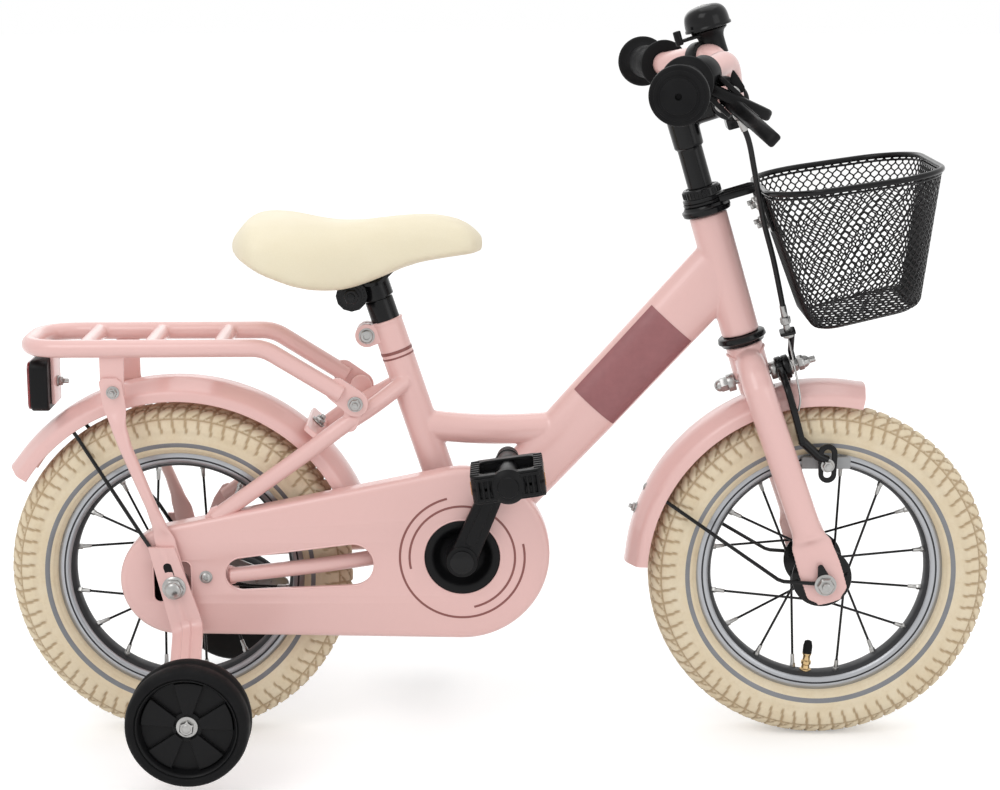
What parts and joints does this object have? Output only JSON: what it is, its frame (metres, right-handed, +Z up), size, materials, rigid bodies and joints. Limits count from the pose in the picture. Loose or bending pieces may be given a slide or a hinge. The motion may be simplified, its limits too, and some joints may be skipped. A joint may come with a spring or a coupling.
{
  "type": "children's bicycle",
  "caption": "Small step-through bicycle with spoked wheels, stabilisers, enclosed chain, mudguards, rear carrier, padded saddle, bell, hand brake and wire front basket.",
  "frame": {"origin": "on the ground, midway between the two wheels' axles and in the bicycle's middle plane", "axes": "+X forward, +Y to the rider's left, +Z up"},
  "size_m": [0.89, 0.4772, 0.6613],
  "materials": {
    "pink_paint": "gloss powder coat, pale pink",
    "cream_leatherette": "satin cream leatherette",
    "tan_rubber": "matt tan rubber",
    "black_plastic": "matt black moulding",
    "black_metal": "satin black enamel",
    "black_rubber": "matt black rubber",
    "bright_steel": "bright plated steel",
    "rim_metal": "satin grey aluminium",
    "red_lens": "glossy dark red lens"
  },
  "bodies": {
    "frame_assembly": {"frame": "pink_paint", "seat_clamp_bolt": "bright_steel", "bottom_bracket": "black_metal", "chain_case": "pink_paint", "chain": "bright_steel", "rear_axle": "bright_steel", "coaster_brake_arm": "bright_steel", "rear_mudguard": "pink_paint", "rear_mudguard_stay": "black_metal", "rear_rack": "pink_paint", "rack_leg_right": "pink_paint", "rack_leg_left": "pink_paint", "reflector_housing": "black_plastic", "reflector_lens": "red_lens", "stabiliser_bracket_right": "pink_paint", "stabiliser_bracket_left": "pink_paint", "headset_upper_cup": "black_metal", "headset_lower_cup": "black_metal"},
    "seat_assembly": {"seatpost": "black_metal", "saddle_clamp": "black_metal", "saddle_rails": "bright_steel", "saddle_cover": "cream_leatherette", "saddle_pan": "black_plastic"},
    "rear_wheel": {"rear_hub": "black_metal", "rear_rim": "rim_metal", "rear_tyre": "tan_rubber"},
    "rear_sprocket_body": {"rear_sprocket": "black_metal"},
    "crankset": {"crank_axle": "bright_steel", "chainring": "black_metal", "crank_arm_right": "black_plastic", "crank_arm_left": "black_plastic"},
    "pedal_right_body": {"pedal_right": "black_plastic"},
    "pedal_left_body": {"pedal_left": "black_plastic"},
    "stabiliser_right_body": {"stabiliser_wheel_right": "black_plastic"},
    "stabiliser_left_body": {"stabiliser_wheel_left": "black_plastic"},
    "fork_assembly": {"fork": "pink_paint", "headset_locknut": "black_metal", "basket_bracket": "black_metal", "basket": "black_metal", "front_mudguard": "pink_paint", "front_mudguard_stay": "black_metal", "front_axle": "bright_steel", "brake_bolt": "bright_steel", "brake_cable": "black_rubber"},
    "handlebar_assembly": {"stem": "black_metal", "handlebar": "pink_paint", "grip_right": "black_rubber", "grip_left": "black_rubber", "brake_lever_perch": "black_plastic", "bell_base": "black_plastic", "bell_dome": "black_metal"},
    "brake_lever_body": {"brake_lever": "black_plastic"},
    "bell_lever_body": {"bell_lever": "black_plastic"},
    "brake_arm_right_body": {"brake_arm_right": "black_metal"},
    "brake_arm_left_body": {"brake_arm_left": "black_metal"},
    "front_wheel": {"front_hub": "black_metal", "front_rim": "rim_metal", "front_tyre": "tan_rubber"}
  },
  "joints": [
    {"name": "steering", "type": "hinge", "parent": "frame_assembly", "child": "fork_assembly", "pos_m": [0.2151, 0, 0.37322], "axis": [-0.2823, 0, 0.9593], "range_deg": [-45, 45]},
    {"name": "front_wheel_spin", "type": "hinge", "parent": "fork_assembly", "child": "front_wheel", "pos_m": [0.29, 0, 0.15415], "axis": [0, 1, 0], "continuous": true},
    {"name": "rear_wheel_spin", "type": "hinge", "parent": "frame_assembly", "child": "rear_wheel", "pos_m": [-0.29, 0, 0.15415], "axis": [0, 1, 0], "continuous": true},
    {"name": "crank_spin", "type": "hinge", "parent": "frame_assembly", "child": "crankset", "pos_m": [-0.034, 0, 0.17865], "axis": [0, 1, 0], "continuous": true},
    {"name": "sprocket_spin", "type": "hinge", "parent": "frame_assembly", "child": "rear_sprocket_body", "pos_m": [-0.29, 0, 0.15415], "axis": [0, 1, 0], "continuous": true},
    {"name": "pedal_right_spin", "type": "hinge", "parent": "crankset", "child": "pedal_right_body", "pos_m": [0.00651, -0.1335, 0.27226], "axis": [0, 1, 0], "continuous": true},
    {"name": "pedal_left_spin", "type": "hinge", "parent": "crankset", "child": "pedal_left_body", "pos_m": [-0.07451, 0.1335, 0.08504], "axis": [0, 1, 0], "continuous": true},
    {"name": "stabiliser_right_spin", "type": "hinge", "parent": "frame_assembly", "child": "stabiliser_right_body", "pos_m": [-0.26501, -0.168, 0.067], "axis": [0, 1, 0], "continuous": true},
    {"name": "stabiliser_left_spin", "type": "hinge", "parent": "frame_assembly", "child": "stabiliser_left_body", "pos_m": [-0.26501, 0.168, 0.067], "axis": [0, 1, 0], "continuous": true},
    {"name": "handlebar_height", "type": "slide", "parent": "fork_assembly", "child": "handlebar_assembly", "axis": [-0.2823, 0, 0.9593], "range_m": [-0.03, 0.02], "deforming": ["brake_cable"]},
    {"name": "brake_lever_squeeze", "type": "hinge", "parent": "handlebar_assembly", "child": "brake_lever_body", "pos_m": [0.18895, -0.0982, 0.58837], "axis": [-0.6691, 0, -0.7431], "range_deg": [0, 20], "stiffness_Nm_per_rad": 0.5, "springref_deg": -11.46},
    {"name": "brake_arm_right_pivot", "type": "hinge", "parent": "fork_assembly", "child": "brake_arm_right_body", "pos_m": [0.22682, 0, 0.33341], "axis": [0.9593, 0, 0.2823], "range_deg": [0, 2]},
    {"name": "brake_arm_left_pivot", "type": "hinge", "parent": "fork_assembly", "child": "brake_arm_left_body", "pos_m": [0.22682, 0, 0.33341], "axis": [-0.9593, 0, -0.2823], "range_deg": [0, 2]},
    {"name": "bell_lever_press", "type": "hinge", "parent": "handlebar_assembly", "child": "bell_lever_body", "pos_m": [0.1801, 0.0642, 0.63325], "axis": [-0.2823, 0, 0.9593], "range_deg": [0, 25], "stiffness_Nm_per_rad": 0.02, "springref_deg": -17.19},
    {"name": "seat_height", "type": "slide", "parent": "frame_assembly", "child": "seat_assembly", "axis": [-0.3148, 0, 0.9492], "range_m": [0, 0.07]}
  ],
  "couplings": [
    {"joint": "sprocket_spin", "follows": "crank_spin", "ratio": 1.75},
    {"joint": "brake_arm_right_pivot", "follows": "brake_lever_squeeze", "ratio": 0.05},
    {"joint": "brake_arm_left_pivot", "follows": "brake_lever_squeeze", "ratio": 0.05}
  ]
}
